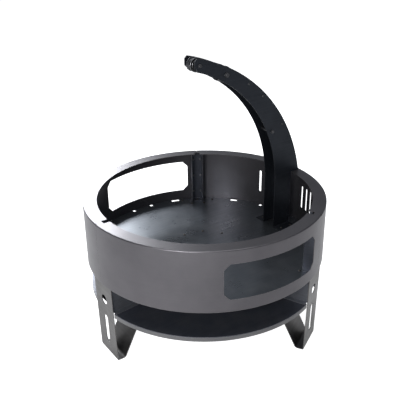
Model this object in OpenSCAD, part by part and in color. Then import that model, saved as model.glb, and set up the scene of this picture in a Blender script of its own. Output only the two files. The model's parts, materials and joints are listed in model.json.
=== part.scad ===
// Round sheet-steel fire pit with a log shelf underneath and a curved chain crane over the bowl.
// Origin: on the ground, on the drum's axis. +Z is up and the crane stands on the +Y side.

/* [Drum] */
// Outside diameter of the drum
drum_d = 1000; // [750:10:1300]
// Height of the drum wall
drum_h = 255; // [200:5:350]
// Thickness of every folded or rolled sheet
sheet_t = 3; // [2:0.5:4]
// Width of the flat rim that is turned inwards at the top
rim_w = 56; // [40:1:90]
// Height of the rim above the ground
rim_height = 600; // [560:5:760]
// Open seam between two drum segments
seam_w = 1.2; // [0.6:0.1:3]
// Width of the relief notch in the rim at each seam
rim_notch_w = 24; // [10:1:40]
// Depth of the relief notch in the rim at each seam
rim_notch_l = 26; // [10:1:36]
// Diameter of the relief hole at each end of the rim's fold
fold_relief_d = 8; // [4:0.5:12]

/* [Windows] */
// Height of each window
window_h = 149; // [80:1:170]
// Distance from the rim's top to a window's upper edge
window_drop = 56; // [30:1:90]
// Chamfer on each window corner
window_chamfer = 24; // [5:1:35]
// Angle from the rear left seam to the left window, in degrees
left_window_start = 5.3; // [5:0.1:12]
// Angle that the left window spans, in degrees
left_window_span = 52.1; // [30:0.1:70]
// Angle from the rear right seam to the right window, in degrees
right_window_start = 6.9; // [5:0.1:12]
// Angle that the right window spans, in degrees
right_window_span = 49.9; // [30:0.1:70]

/* [Rear vents] */
// Number of vent slots on each side of the crane
vent_count = 5; // [2:1:6]
// Width of a vent slot
vent_w = 11; // [6:1:16]
// Length of a vent slot
vent_l = 108; // [60:1:120]
// Angle from the crane to the nearest vent slot, in degrees
vent_first = 7; // [6:0.5:10]
// Angle between two vent slots, in degrees
vent_step = 4; // [3:0.5:6]

/* [Stand] */
// Clear height between the drum and the log shelf
shelf_gap = 115; // [90:1:150]
// Distance that the log shelf's edge stays inside the drum's outside
shelf_inset = 9; // [4:1:30]
// Height of the shelf's edge, with the plate
shelf_lip = 20; // [10:1:30]
// Depth of the notch in the shelf behind a leg
shelf_notch_l = 22; // [16:1:40]
// Width of a leg
leg_w = 142; // [110:1:180]
// Distance of a leg's top inside the drum's outside, at the leg's edges
leg_inset = 3.5; // [2:0.5:12]
// Distance that a leg's outer plate leans inwards down to the ground
leg_draw_in = 7; // [0:0.5:20]
// Length of the flat foot at the bottom of a leg, with its bend
foot_l = 36; // [30:1:70]
// Radius of the bend between the foot and the inner plate
toe_bend_r = 12; // [4:1:16]
// Distance that a leg's inner plate leans inwards between foot and shelf
leg_lean = 114; // [60:1:140]
// Diameter of the hand hole in a leg
hand_hole_d = 43; // [20:1:50]
// Distance from the ground to the hand hole's middle
hand_hole_up = 261; // [240:1:330]
// Width of the long slot in a leg
leg_slot_w = 29; // [12:1:40]
// Length of the long slot in a leg
leg_slot_l = 129; // [60:1:140]
// Distance from the ground to the slot's lower end
leg_slot_up = 57; // [40:1:90]
// Length of a gusset between drum and shelf
gusset_l = 180; // [120:1:220]

/* [Crane] */
// Overall width of the crane's channel
crane_w = 72; // [60:1:100]
// Depth of the crane from the drum's outside to its front edge
crane_base = 150; // [120:1:200]
// Radius of the crane's front (concave) edge
crane_inner_r = 575; // [520:1:640]
// Radius of the crane's back (convex) edge
crane_outer_r = 721; // [700:1:800]
// Distance that the crane's tip reaches past the drum's axis
crane_overhang = 64; // [20:1:120]
// Distance from the drum's outside to the crane's back edge on the rim
crane_step = 16; // [8:1:40]
// Width of the crane's foot flange
crane_foot_w = 50; // [40:1:70]

/* [Chain rollers] */
// Diameter of the pulley at the crane's tip
tip_pulley_d = 56; // [44:1:60]
// Width of the tip pulley
tip_pulley_w = 28; // [20:1:36]
// Diameter of the tip pulley's axle
tip_axle_d = 8; // [6:1:12]
// Diameter of the guide roller
guide_roller_d = 66; // [50:1:70]
// Width of the guide roller
guide_roller_w = 46; // [30:1:48]
// Diameter of the guide roller's axle
guide_axle_d = 10; // [8:1:14]
// Distance between the tip pulley and the guide roller, measured level
roller_pitch = 125; // [100:1:160]
// Diameter of the pin that the chain is hooked on
belay_d = 8; // [6:1:12]

/* [Fasteners] */
// Shank diameter of the small bolts and studs
bolt_d = 6; // [5:1:8]
// Clearance added to a bolt's diameter for its hole
bolt_clear = 0.6; // [0.4:0.1:1.5]

/* [Hidden] */
$fn = 96;

// Places around the drum, in degrees from +X
crane_az = 90;
left_az = 150;
right_az = 30;
front_az = 270;
leg_azimuths = [left_az, right_az, front_az];

// Heights
drum_z = rim_height - drum_h;
floor_z = drum_z + sheet_t;
shelf_z = drum_z - shelf_gap;
window_z = rim_height - window_drop - window_h;

// Radii
drum_r = drum_d / 2;
wall_r = drum_r - sheet_t;
rim_in_r = drum_r - rim_w;
shelf_r = drum_r - shelf_inset;
// A leg's plate is flat, so this is the distance of its outer face at the top
leg_face_r = sqrt(drum_r ^ 2 - (leg_w / 2) ^ 2) - leg_inset;

// Fits
loose = 0.5;
running = 0.06;
touch_gap = 0.3;
bore_d = bolt_d + bolt_clear;

// Small bolts
button_d = 1.75 * bolt_d;
button_h = 0.55 * bolt_d;
nut_af = 1.65 * bolt_d;
nut_h = 0.85 * bolt_d;
thread_gap = 0.1;

// Joint pillars: the web lies on the wall and both flanges end under the rim's inner edge
pillar_w = 54;
pillar_foot_w = 32;
pillar_foot_l = 34;
pillar_back = sqrt(wall_r ^ 2 - (pillar_w / 2) ^ 2) - touch_gap;
pillar_face = pillar_back - sheet_t;
pillar_in_r = rim_in_r + 1;
// A nut's corner stays 1 mm clear of the flange beside it
stud_y = pillar_w / 2 - sheet_t - nut_af / sqrt(3) - 1;
stud_rows = 3;
pillar_foot_bolt = pillar_face - pillar_foot_l / 2 - 2;

// Floor plate
floor_r = wall_r - loose;
notch_angles = [-47, -32, -20.5, 22, 38.6];
notch_widths = [38, 14, 14, 14, 32];
notch_l = 17;
ring_bolt_r = 137;
ring_w = 44;
ring_bolt_angles = [-37.5, 0, 37.5];

// Legs
leg_flange_w = leg_w - 50;
leg_flange_l = 72;
leg_bolt_y = leg_flange_w / 3.2;
leg_bolt_r = pillar_in_r - button_d;
leg_foot_r = leg_face_r - leg_draw_in;
leg_toe_r = leg_foot_r - foot_l;
leg_top_r = leg_toe_r - leg_lean;
leg_tab_l = 34;
leg_tab_bolt_r = leg_top_r - leg_tab_l / 2 - 2;
// The bend is drawn as two short flats, and its middle point lies at this share of the bend's two cuts
toe_bulge = 0.3;
leg_tilt = atan(leg_draw_in / drum_z);

// Gussets
gusset_flange_w = 20;
gusset_angle = asin((leg_w / 2 - 6) / leg_face_r);
// The plate ends just short of the leaning leg, at the height of the shelf
gusset_end_r = (leg_foot_r + leg_draw_in * shelf_z / drum_z - sheet_t - 1.5) / cos(gusset_angle);
gusset_flange_end_r = gusset_end_r - 2;
gusset_flange_start_r = gusset_end_r - gusset_l + 8;
gusset_outer_bolt_r = gusset_flange_end_r - 10;
// The inner bolt's nut stays clear of the leg's tab
gusset_inner_bolt_r = max(gusset_flange_start_r + 12, leg_top_r + nut_af + 16);
gusset_bolt_y = gusset_flange_w / 2 + 1;

// Shelf
shelf_notch_w = leg_w + 4;
shelf_notch_r = shelf_r - shelf_notch_l;

// Crane: both edges are arcs about points on one vertical line
crane_front = drum_r - crane_base;
crane_arc_x = crane_front - crane_inner_r;
inner_arc_z = rim_height - 32;
crane_back = drum_r - crane_step;
// Inside the drum the crane ends just short of the rim's round inner edge
crane_base_back = sqrt(rim_in_r ^ 2 - (crane_w / 2) ^ 2) - loose;
outer_arc_z = rim_height - sqrt(crane_outer_r ^ 2 - (crane_back - crane_arc_x) ^ 2);
crane_tip_x = -crane_overhang;
crane_gap = crane_w - 2 * sheet_t;
crane_foot_x = [crane_front + 22, crane_base_back - 18];
crane_foot_y = crane_w / 2 + 0.6 * crane_foot_w;
tip_chamfer = 13;
strip_inset = 2;
strip_end_angle = 61;
spacer_inset = 17;
spacer_angles = [31.2, 45.8, 53.6];
spacer_d = 2 * bolt_d;
belay_inset = 24;
belay_angle = 23.8;
belay_sleeve_d = 2 * belay_d;

// The height of the crane's middle line above a place x on its curved part
function arc_z(x, r, z) = z + sqrt(r ^ 2 - (x - crane_arc_x) ^ 2);
function crane_mid_z(x) = (arc_z(x, crane_inner_r, inner_arc_z) + arc_z(x, crane_outer_r, outer_arc_z)) / 2;
function on_arc(r, z, a) = [crane_arc_x + r * cos(a), z + r * sin(a)];

tip_axle_x = crane_tip_x + 22;
tip_axle_at = [tip_axle_x, crane_mid_z(tip_axle_x)];
guide_axle_x = tip_axle_x + roller_pitch;
guide_axle_at = [guide_axle_x, crane_mid_z(guide_axle_x)];
belay_at = on_arc(crane_inner_r + belay_inset, inner_arc_z, belay_angle);
spacer_at = [for (a = spacer_angles) on_arc(crane_outer_r - spacer_inset, outer_arc_z, a)];

// Where a folded sheet's other face runs: every point moved by t along its corner's mitre
function unit(v) = v / norm(v);
function right_of(v) = [v[1], -v[0]];
function mitre(p, i, t) = let (
    last = len(p) - 1,
    before = right_of(unit(i == 0 ? p[1] - p[0] : p[i] - p[i - 1])),
    after = right_of(unit(i == last ? p[last] - p[last - 1] : p[i + 1] - p[i]))
) p[i] + (before + after) * t / (1 + before * after);
function folded(p, t) = concat(p, [for (i = [len(p) - 1:-1:0]) mitre(p, i, t)]);

// ---------- shared shapes ----------

// A flat outline in the plane (radius, height), given a width across
module across(width) {
    rotate([90, 0, 0]) linear_extrude(width, center = true) children();
}

// A rod along the local Y axis, at a place (radius, height)
module cross_rod(at, d, from_y, to_y) {
    translate([at[0], to_y, at[1]]) rotate([90, 0, 0]) cylinder(d = d, h = to_y - from_y);
}

// A hexagon along the local Y axis, at a place (radius, height)
module cross_hex(at, af, from_y, to_y) {
    translate([at[0], to_y, at[1]]) rotate([90, 0, 0]) cylinder(d = af / cos(30), h = to_y - from_y, $fn = 6);
}

module upright_tube(outer_d, inner_d, h) {
    difference() {
        cylinder(d = outer_d, h = h);
        translate([0, 0, -1]) cylinder(d = inner_d, h = h + 2);
    }
}

module upright_nut(h = nut_h) {
    difference() {
        cylinder(d = nut_af / cos(30), h = h, $fn = 6);
        translate([0, 0, -1]) cylinder(d = bolt_d + thread_gap, h = h + 2);
    }
}

// A button-head bolt whose head stands on z = 0 and whose shank goes down
module button_bolt(grip) {
    cylinder(d = button_d, h = 0.4 * button_h);
    translate([0, 0, 0.4 * button_h]) cylinder(d1 = button_d, d2 = 0.6 * button_d, h = 0.6 * button_h);
    translate([0, 0, -grip - nut_h - 2]) cylinder(d = bolt_d, h = grip + nut_h + 2);
}

// ---------- drum ----------

// An L-shaped ring sector: the wall with the rim turned inwards
module drum_sector(from, to) {
    gap = seam_w / drum_r * 90 / PI;
    rotate(from + gap) rotate_extrude(angle = to - from - 2 * gap, $fn = 180) polygon([
        [wall_r, drum_z], [drum_r, drum_z], [drum_r, rim_height],
        [rim_in_r, rim_height], [rim_in_r, rim_height - sheet_t], [wall_r, rim_height - sheet_t]
    ]);
}

module rim_notch(az) {
    rotate(az) translate([rim_in_r - 1, -rim_notch_w / 2, rim_height - sheet_t - 1])
        cube([rim_notch_l + 1, rim_notch_w, sheet_t + 2]);
}

// A round hole through the corner of the fold, so that it doesn't tear at the seam
module fold_relief(az) {
    rotate(az) translate([drum_r - sheet_t / 2, 0, rim_height - sheet_t / 2]) rotate([0, 45, 0])
        cylinder(d = fold_relief_d, h = 6 * sheet_t, center = true);
}

// One chamfered corner of a window, left standing in the cutter
module window_corner(az, side, level, up) {
    rotate(az) translate([wall_r - 8, 0, level]) rotate([90, 0, 90]) linear_extrude(sheet_t + 16)
        polygon([[-side, up], [side * (window_chamfer + 1), up], [-side, -up * (window_chamfer + 1)]]);
}

module window_cut(from, to) {
    difference() {
        rotate(from) rotate_extrude(angle = to - from, $fn = 180)
            translate([wall_r - 4, window_z]) square([sheet_t + 8, window_h]);
        for (end = [[from, 1], [to, -1]]) {
            window_corner(end[0], end[1], window_z + window_h, 1);
            window_corner(end[0], end[1], window_z, -1);
        }
    }
}

module vent_slot(az) {
    straight = vent_l - vent_w;
    rotate(az) translate([wall_r - 4, 0, window_z + window_h / 2]) {
        translate([0, -vent_w / 2, -straight / 2]) cube([sheet_t + 8, vent_w, straight]);
        for (s = [-1, 1]) translate([0, 0, s * straight / 2]) rotate([0, 90, 0]) cylinder(d = vent_w, h = sheet_t + 8);
    }
}

module drum_segment(from, to) {
    difference() {
        drum_sector(from, to);
        for (az = [from, to]) {
            rim_notch(az);
            fold_relief(az);
        }
        children();
    }
}

module drum_segment_rear() {
    color("dimgray") drum_segment(right_az, left_az)
        for (i = [0:vent_count - 1], s = [-1, 1]) vent_slot(crane_az + s * (vent_first + i * vent_step));
}

module drum_segment_left() {
    start = left_az + left_window_start;
    color("dimgray") drum_segment(left_az, front_az) window_cut(start, start + left_window_span);
}

module drum_segment_right() {
    start = right_az - right_window_start;
    color("dimgray") drum_segment(front_az - 360, right_az) window_cut(start - right_window_span, start);
}

// ---------- joint pillars ----------

function stud_z(i) = floor_z + (rim_height - sheet_t - floor_z) * (2 * i + 1) / (2 * stud_rows);

// A channel whose web covers a seam from inside, with a foot tab bolted to the floor
module joint_pillar(az) {
    top = rim_height - sheet_t - loose;
    color("slategray") rotate(az) difference() {
        union() {
            translate([0, 0, floor_z]) linear_extrude(top - floor_z) difference() {
                translate([pillar_in_r, -pillar_w / 2]) square([pillar_back - pillar_in_r, pillar_w]);
                translate([pillar_in_r - 1, -pillar_w / 2 + sheet_t])
                    square([pillar_face - pillar_in_r + 1, pillar_w - 2 * sheet_t]);
            }
            translate([pillar_face - pillar_foot_l, -pillar_foot_w / 2, floor_z])
                cube([pillar_foot_l + sheet_t, pillar_foot_w, sheet_t]);
        }
        for (i = [0:stud_rows - 1], s = [-1, 1]) translate([pillar_face - 1, s * stud_y, stud_z(i)])
            rotate([0, 90, 0]) cylinder(d = bore_d, h = sheet_t + 2);
        translate([pillar_foot_bolt, 0, floor_z - 1]) cylinder(d = bore_d, h = sheet_t + 2);
    }
}

module joint_pillar_left() { joint_pillar(left_az); }
module joint_pillar_right() { joint_pillar(right_az); }
module joint_pillar_front() { joint_pillar(front_az); }

module each_stud() {
    for (az = leg_azimuths, i = [0:stud_rows - 1], s = [-1, 1])
        rotate(az) translate([pillar_face, s * stud_y, stud_z(i)]) rotate([0, -90, 0]) children();
}

// Weld studs on the wall, reaching in through the pillars
module pillar_studs() {
    root = sqrt(wall_r ^ 2 - (stud_y + bolt_d / 2) ^ 2) - pillar_face;
    color("gray") each_stud() translate([0, 0, -root]) cylinder(d = bolt_d, h = root + nut_h + 2);
}

module pillar_nuts() {
    color("gray") each_stud() upright_nut();
}

// ---------- floor ----------

// Bolt places: each module puts its children at every place of one kind
module each_leg_bolt() {
    for (az = leg_azimuths, s = [-1, 1]) rotate(az) translate([leg_bolt_r, s * leg_bolt_y, floor_z]) children();
}

module each_pillar_foot_bolt() {
    for (az = leg_azimuths) rotate(az) translate([pillar_foot_bolt, 0, floor_z]) children();
}

module each_gusset_bolt(r, level) {
    for (az = leg_azimuths, s = [-1, 1])
        rotate(az + s * gusset_angle) translate([r, s * gusset_bolt_y, level]) children();
}

module each_ring_bolt() {
    for (az = leg_azimuths, a = ring_bolt_angles) rotate(az + a) translate([ring_bolt_r, 0, floor_z]) children();
}

module each_crane_foot_bolt() {
    rotate(crane_az) for (x = crane_foot_x, s = [-1, 1]) translate([x, s * crane_foot_y, floor_z]) children();
}

module through_hole(depth = sheet_t) {
    translate([0, 0, -depth - 1]) cylinder(d = bore_d, h = depth + 2);
}

module air_notch(az, w) {
    rotate(az) translate([floor_r - notch_l, -w / 2, drum_z - 1]) cube([notch_l + 5, w, sheet_t + 2]);
}

module floor_plate() {
    color("darkslategray") difference() {
        translate([0, 0, drum_z]) cylinder(r = floor_r, h = sheet_t, $fn = 180);
        for (az = leg_azimuths, i = [0:len(notch_angles) - 1]) air_notch(az + 60 + notch_angles[i], notch_widths[i]);
        each_leg_bolt() through_hole();
        each_pillar_foot_bolt() through_hole();
        each_gusset_bolt(gusset_outer_bolt_r, floor_z) through_hole();
        each_ring_bolt() through_hole();
        each_crane_foot_bolt() through_hole();
    }
}

// A flat ring under the middle of the floor that stops it warping
module floor_ring() {
    color("dimgray") difference() {
        translate([0, 0, drum_z - sheet_t])
            upright_tube(2 * ring_bolt_r + ring_w, 2 * ring_bolt_r - ring_w, sheet_t);
        each_ring_bolt() through_hole(2 * sheet_t);
    }
}

module floor_bolts() {
    color("gray") {
        each_leg_bolt() button_bolt(2 * sheet_t);
        each_gusset_bolt(gusset_outer_bolt_r, floor_z) button_bolt(2 * sheet_t);
        each_ring_bolt() button_bolt(2 * sheet_t);
        each_pillar_foot_bolt() translate([0, 0, sheet_t]) button_bolt(3 * sheet_t);
    }
}

module floor_nuts() {
    color("gray") translate([0, 0, -2 * sheet_t - nut_h]) {
        each_leg_bolt() upright_nut();
        each_gusset_bolt(gusset_outer_bolt_r, floor_z) upright_nut();
        each_ring_bolt() upright_nut();
        each_pillar_foot_bolt() upright_nut();
    }
}

// ---------- shelf ----------

module each_leg_tab_bolt() {
    for (az = leg_azimuths, s = [-1, 1])
        rotate(az) translate([leg_tab_bolt_r, s * leg_bolt_y, shelf_z]) children();
}

module shelf() {
    color("darkslategray") difference() {
        translate([0, 0, shelf_z - sheet_t]) cylinder(r = shelf_r, h = sheet_t, $fn = 180);
        each_gusset_bolt(gusset_inner_bolt_r, shelf_z) through_hole();
        each_leg_tab_bolt() through_hole();
        shelf_notches();
    }
}

// Room for the three legs in the shelf's rim
module shelf_notches() {
    for (az = leg_azimuths) rotate(az)
        translate([shelf_notch_r, -shelf_notch_w / 2, shelf_z - shelf_lip - 1])
            cube([shelf_notch_l + 5, shelf_notch_w, shelf_lip + 2]);
}

// Rolled strips welded under the shelf's rim, one between each pair of legs
module shelf_edge() {
    color("gray") difference() {
        translate([0, 0, shelf_z - shelf_lip])
            upright_tube(2 * shelf_r, 2 * (shelf_r - sheet_t), shelf_lip - sheet_t, $fn = 180);
        shelf_notches();
    }
}

module shelf_bolts() {
    color("gray") {
        each_gusset_bolt(gusset_inner_bolt_r, shelf_z + sheet_t) button_bolt(2 * sheet_t);
        each_leg_tab_bolt() button_bolt(2 * sheet_t);
    }
}

module shelf_nuts() {
    color("gray") {
        each_gusset_bolt(gusset_inner_bolt_r, shelf_z - sheet_t - nut_h) upright_nut();
        translate([0, 0, -2 * sheet_t - nut_h]) each_leg_tab_bolt() upright_nut();
    }
}

// ---------- legs ----------

// One sheet folded into a V: flange under the floor, outer plate, foot, inner plate, tab under the shelf
module leg(az) {
    tab_z = shelf_z - 2 * sheet_t;
    toe = [leg_toe_r, 0];
    along_foot = [1, 0];
    along_plate = unit([leg_top_r, tab_z] - toe);
    toe_cut = toe_bend_r * tan((180 - acos(along_foot * along_plate)) / 2);
    toe_middle = toe + (along_foot + along_plate) * toe_cut * toe_bulge;
    fold = [
        [leg_face_r - leg_flange_l, drum_z], [leg_face_r, drum_z], [leg_foot_r, 0],
        toe + along_foot * toe_cut, toe_middle, toe + along_plate * toe_cut,
        [leg_top_r, tab_z], [leg_top_r - leg_tab_l, tab_z]
    ];
    slot_run = leg_slot_l - leg_slot_w;
    color("dimgray") rotate(az) difference() {
        across(leg_w) polygon(folded(fold, sheet_t));
        for (s = [-1, 1]) translate([leg_face_r - leg_flange_l - 1, s * leg_w / 2, drum_z - sheet_t - 1])
            translate([0, s > 0 ? leg_flange_w / 2 - leg_w / 2 : -1, 0])
                cube([leg_flange_l + 1 - sheet_t, leg_w / 2 - leg_flange_w / 2 + 1, sheet_t + 2]);
        leg_window(hand_hole_up) rotate([0, 90, 0]) cylinder(d = hand_hole_d, h = 3 * sheet_t, center = true);
        leg_window(leg_slot_up + leg_slot_w / 2) {
            translate([-1.5 * sheet_t, -leg_slot_w / 2, 0]) cube([3 * sheet_t, leg_slot_w, slot_run]);
            for (z = [0, slot_run]) translate([0, 0, z]) rotate([0, 90, 0])
                cylinder(d = leg_slot_w, h = 3 * sheet_t, center = true);
        }
        for (s = [-1, 1]) {
            translate([leg_bolt_r, s * leg_bolt_y, drum_z - sheet_t - 1]) cylinder(d = bore_d, h = sheet_t + 2);
            translate([leg_tab_bolt_r, s * leg_bolt_y, tab_z - 1]) cylinder(d = bore_d, h = sheet_t + 2);
        }
        translate([pillar_foot_bolt, 0, drum_z - sheet_t - 1]) cylinder(d = bore_d, h = sheet_t + 2);
    }
}

// Moves its children into the middle of a leg's outer plate, at a height above the ground
module leg_window(up) {
    translate([leg_foot_r - sheet_t / 2, 0, 0]) rotate([0, leg_tilt, 0]) translate([0, 0, up]) children();
}

module leg_left() { leg(left_az); }
module leg_right() { leg(right_az); }
module leg_front() { leg(front_az); }

// ---------- gussets ----------

// A radial C-shaped plate beside a leg, bolted under the floor and on the shelf
module gusset(az, side) {
    h = drum_z - shelf_z;
    web_start = gusset_end_r - gusset_l;
    flange_run = gusset_flange_end_r - gusset_flange_start_r;
    color("slategray") rotate(az + side * gusset_angle) mirror([0, side < 0 ? 1 : 0, 0]) difference() {
        union() {
            translate([web_start, -sheet_t, shelf_z]) cube([gusset_l, sheet_t, h]);
            for (z = [shelf_z, drum_z - sheet_t]) translate([gusset_flange_start_r, -sheet_t, z])
                cube([flange_run, gusset_flange_w + sheet_t, sheet_t]);
        }
        translate([gusset_inner_bolt_r, gusset_bolt_y, shelf_z - 1]) cylinder(d = bore_d, h = sheet_t + 2);
        translate([gusset_outer_bolt_r, gusset_bolt_y, drum_z - sheet_t - 1])
            cylinder(d = bore_d, h = sheet_t + 2);
    }
}

module gusset_left_rear() { gusset(left_az, -1); }
module gusset_left_front() { gusset(left_az, 1); }
module gusset_right_rear() { gusset(right_az, 1); }
module gusset_right_front() { gusset(right_az, -1); }
module gusset_front_left() { gusset(front_az, -1); }
module gusset_front_right() { gusset(front_az, 1); }

// ---------- crane ----------

// The side plate's outline: two arcs from tip to rim, and a straight base inside the rim
module crane_outline() {
    tip_low = arc_z(crane_tip_x, crane_inner_r, inner_arc_z);
    tip_high = arc_z(crane_tip_x, crane_outer_r, outer_arc_z);
    difference() {
        union() {
            intersection() {
                translate([crane_arc_x, outer_arc_z]) circle(r = crane_outer_r, $fn = 360);
                translate([crane_tip_x, rim_height]) square([drum_r + crane_overhang, crane_outer_r]);
            }
            translate([crane_front, floor_z]) square([crane_base_back - crane_front, rim_height - floor_z]);
        }
        intersection() {
            translate([crane_arc_x, inner_arc_z]) circle(r = crane_inner_r, $fn = 360);
            translate([crane_tip_x - 1, inner_arc_z]) square([drum_r + crane_overhang, crane_inner_r + 1]);
        }
        translate([crane_tip_x, tip_low]) rotate(45) square(tip_chamfer * sqrt(2), center = true);
        translate([crane_tip_x, tip_high]) rotate(45) square(tip_chamfer * sqrt(2), center = true);
        for (p = spacer_at) translate(p) circle(d = bore_d);
        translate(tip_axle_at) circle(d = tip_axle_d + bolt_clear / 2);
        translate(guide_axle_at) circle(d = guide_axle_d + bolt_clear / 2);
        translate(belay_at) circle(d = belay_d + bolt_clear / 2);
    }
}

// side is 1 for the plate on the local +Y side and -1 for the other
module crane_plate(side) {
    color("darkslategray") rotate(crane_az) mirror([0, side < 0 ? 1 : 0, 0]) difference() {
        union() {
            translate([0, crane_w / 2, 0]) rotate([90, 0, 0]) linear_extrude(sheet_t) crane_outline();
            translate([crane_front, crane_w / 2 - sheet_t, floor_z])
                cube([crane_base_back - crane_front, crane_foot_w + sheet_t, sheet_t]);
        }
        for (x = crane_foot_x) translate([x, crane_foot_y, floor_z - 1]) cylinder(d = bore_d, h = sheet_t + 2);
    }
}

module crane_plate_left() { crane_plate(1); }
module crane_plate_right() { crane_plate(-1); }

// A curved strip that closes the channel along its convex edge, from the rim to the guide roller
module crane_back_strip() {
    out_r = crane_outer_r - strip_inset;
    start = asin((rim_height + sheet_t - outer_arc_z) / out_r);
    color("darkslategray") rotate(crane_az) across(crane_gap) intersection() {
        translate([crane_arc_x, outer_arc_z]) difference() {
            circle(r = out_r, $fn = 360);
            circle(r = out_r - sheet_t, $fn = 360);
        }
        translate([crane_arc_x, outer_arc_z]) polygon([
            [0, 0], 2 * out_r * [cos(start), sin(start)], 2 * out_r * [cos(strip_end_angle), sin(strip_end_angle)]
        ]);
    }
}

module cross_tube(at, outer_d, inner_d, from_y, to_y) {
    difference() {
        cross_rod(at, outer_d, from_y, to_y);
        cross_rod(at, inner_d, from_y - 1, to_y + 1);
    }
}

module cross_nut(at, af, d, from_y, h) {
    difference() {
        cross_hex(at, af, from_y, from_y + h);
        cross_rod(at, d + thread_gap, from_y - 1, from_y + h + 1);
    }
}

// A round-head bolt across the channel, with its head on the right-hand plate
module cross_button_bolt(at) {
    face = -crane_w / 2;
    cross_rod(at, button_d, face - button_h, face);
    cross_rod(at, bolt_d, face, -face + nut_h + 2);
}

// A hexagon bolt across the channel, with a washer face under its head
module cross_hex_bolt(at, d) {
    face = -crane_w / 2;
    cross_rod(at, 2 * d, face - 1.5, face);
    cross_hex(at, 1.6 * d, face - 1.5 - 0.6 * d, face - 1.5);
    cross_rod(at, d, face, -face + 0.8 * d + 2);
}

module crane_spacers() {
    color("gray") rotate(crane_az) for (p = spacer_at)
        cross_tube(p, spacer_d, bore_d, -crane_gap / 2, crane_gap / 2);
}

module crane_spacer_bolts() {
    color("gray") rotate(crane_az) for (p = spacer_at) cross_button_bolt(p);
}

module crane_spacer_nuts() {
    color("gray") rotate(crane_az) for (p = spacer_at) cross_nut(p, nut_af, bolt_d, crane_w / 2, nut_h);
}

module crane_foot_bolts() {
    color("gray") translate([0, 0, sheet_t]) each_crane_foot_bolt() button_bolt(2 * sheet_t);
}

module crane_foot_nuts() {
    color("gray") translate([0, 0, -sheet_t - nut_h]) each_crane_foot_bolt() upright_nut();
}

// ---------- chain rollers ----------

// A grooved wheel across the channel: full diameter at both rims, narrowest in the middle
module grooved_wheel(at, d, w, bore, groove) {
    rim = 0.12 * w;
    color("darkgray") rotate(crane_az) translate([at[0], w / 2, at[1]]) rotate([90, 0, 0]) rotate_extrude()
        polygon([
            [bore / 2, 0], [d / 2, 0], [d / 2, rim], [d / 2 - groove, w / 2 - rim],
            [d / 2 - groove, w / 2 + rim], [d / 2, w - rim], [d / 2, w], [bore / 2, w]
        ]);
}

// Two sleeves that keep a wheel in the middle of the channel
module wheel_sleeves(at, w, axle_d) {
    color("gray") rotate(crane_az) for (s = [0, 1]) mirror([0, s, 0])
        cross_tube(at, 1.8 * axle_d, axle_d + bolt_clear / 2, w / 2 + loose, crane_gap / 2);
}

module tip_pulley() {
    grooved_wheel(tip_axle_at, tip_pulley_d, tip_pulley_w, tip_axle_d + 2 * running, 8);
}

module guide_roller() {
    grooved_wheel(guide_axle_at, guide_roller_d, guide_roller_w, guide_axle_d + 2 * running, 9);
}

module tip_sleeves() { wheel_sleeves(tip_axle_at, tip_pulley_w, tip_axle_d); }
module guide_sleeves() { wheel_sleeves(guide_axle_at, guide_roller_w, guide_axle_d); }

module tip_axle() {
    color("gray") rotate(crane_az) cross_hex_bolt(tip_axle_at, tip_axle_d);
}

module guide_axle() {
    color("gray") rotate(crane_az) cross_hex_bolt(guide_axle_at, guide_axle_d);
}

module belay_pin() {
    color("gray") rotate(crane_az) cross_hex_bolt(belay_at, belay_d);
}

module belay_sleeve() {
    color("gray") rotate(crane_az)
        cross_tube(belay_at, belay_sleeve_d, belay_d + bolt_clear / 2, -crane_gap / 2, crane_gap / 2);
}

module axle_nuts() {
    color("gray") rotate(crane_az)
        for (b = [[tip_axle_at, tip_axle_d], [guide_axle_at, guide_axle_d], [belay_at, belay_d]])
            cross_nut(b[0], 1.6 * b[1], b[1], crane_w / 2, 0.8 * b[1]);
}

drum_segment_rear();
drum_segment_left();
drum_segment_right();
joint_pillar_left();
joint_pillar_right();
joint_pillar_front();
pillar_studs();
pillar_nuts();
floor_plate();
floor_ring();
floor_bolts();
floor_nuts();
shelf();
shelf_edge();
shelf_bolts();
shelf_nuts();
leg_left();
leg_right();
leg_front();
gusset_left_rear();
gusset_left_front();
gusset_right_rear();
gusset_right_front();
gusset_front_left();
gusset_front_right();
crane_plate_left();
crane_plate_right();
crane_back_strip();
crane_spacers();
crane_spacer_bolts();
crane_spacer_nuts();
crane_foot_bolts();
crane_foot_nuts();
tip_pulley();
tip_axle();
tip_sleeves();
guide_roller();
guide_axle();
guide_sleeves();
belay_pin();
belay_sleeve();
axle_nuts();
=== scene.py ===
import json
import math

import bmesh
import bpy
from mathutils import Matrix, Vector


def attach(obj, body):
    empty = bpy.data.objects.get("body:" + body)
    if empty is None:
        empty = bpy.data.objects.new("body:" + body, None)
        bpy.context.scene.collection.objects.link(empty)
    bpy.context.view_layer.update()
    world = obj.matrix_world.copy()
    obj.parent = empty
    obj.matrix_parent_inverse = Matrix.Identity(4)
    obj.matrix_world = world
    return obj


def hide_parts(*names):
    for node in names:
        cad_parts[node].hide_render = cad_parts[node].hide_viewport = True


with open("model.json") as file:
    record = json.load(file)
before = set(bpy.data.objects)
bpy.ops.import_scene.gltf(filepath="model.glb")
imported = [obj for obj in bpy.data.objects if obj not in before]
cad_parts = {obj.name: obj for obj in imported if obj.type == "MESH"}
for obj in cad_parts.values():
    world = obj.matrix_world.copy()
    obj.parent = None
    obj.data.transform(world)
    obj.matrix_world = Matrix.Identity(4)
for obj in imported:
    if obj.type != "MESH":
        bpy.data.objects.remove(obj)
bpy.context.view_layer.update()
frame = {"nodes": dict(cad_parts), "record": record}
scene = bpy.context.scene

# ---------- studio ----------
# A pale floor under a white sky, with two soft lights on the left, a wide one overhead
# and one in front.
scene.view_settings.view_transform = "Standard"


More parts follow.
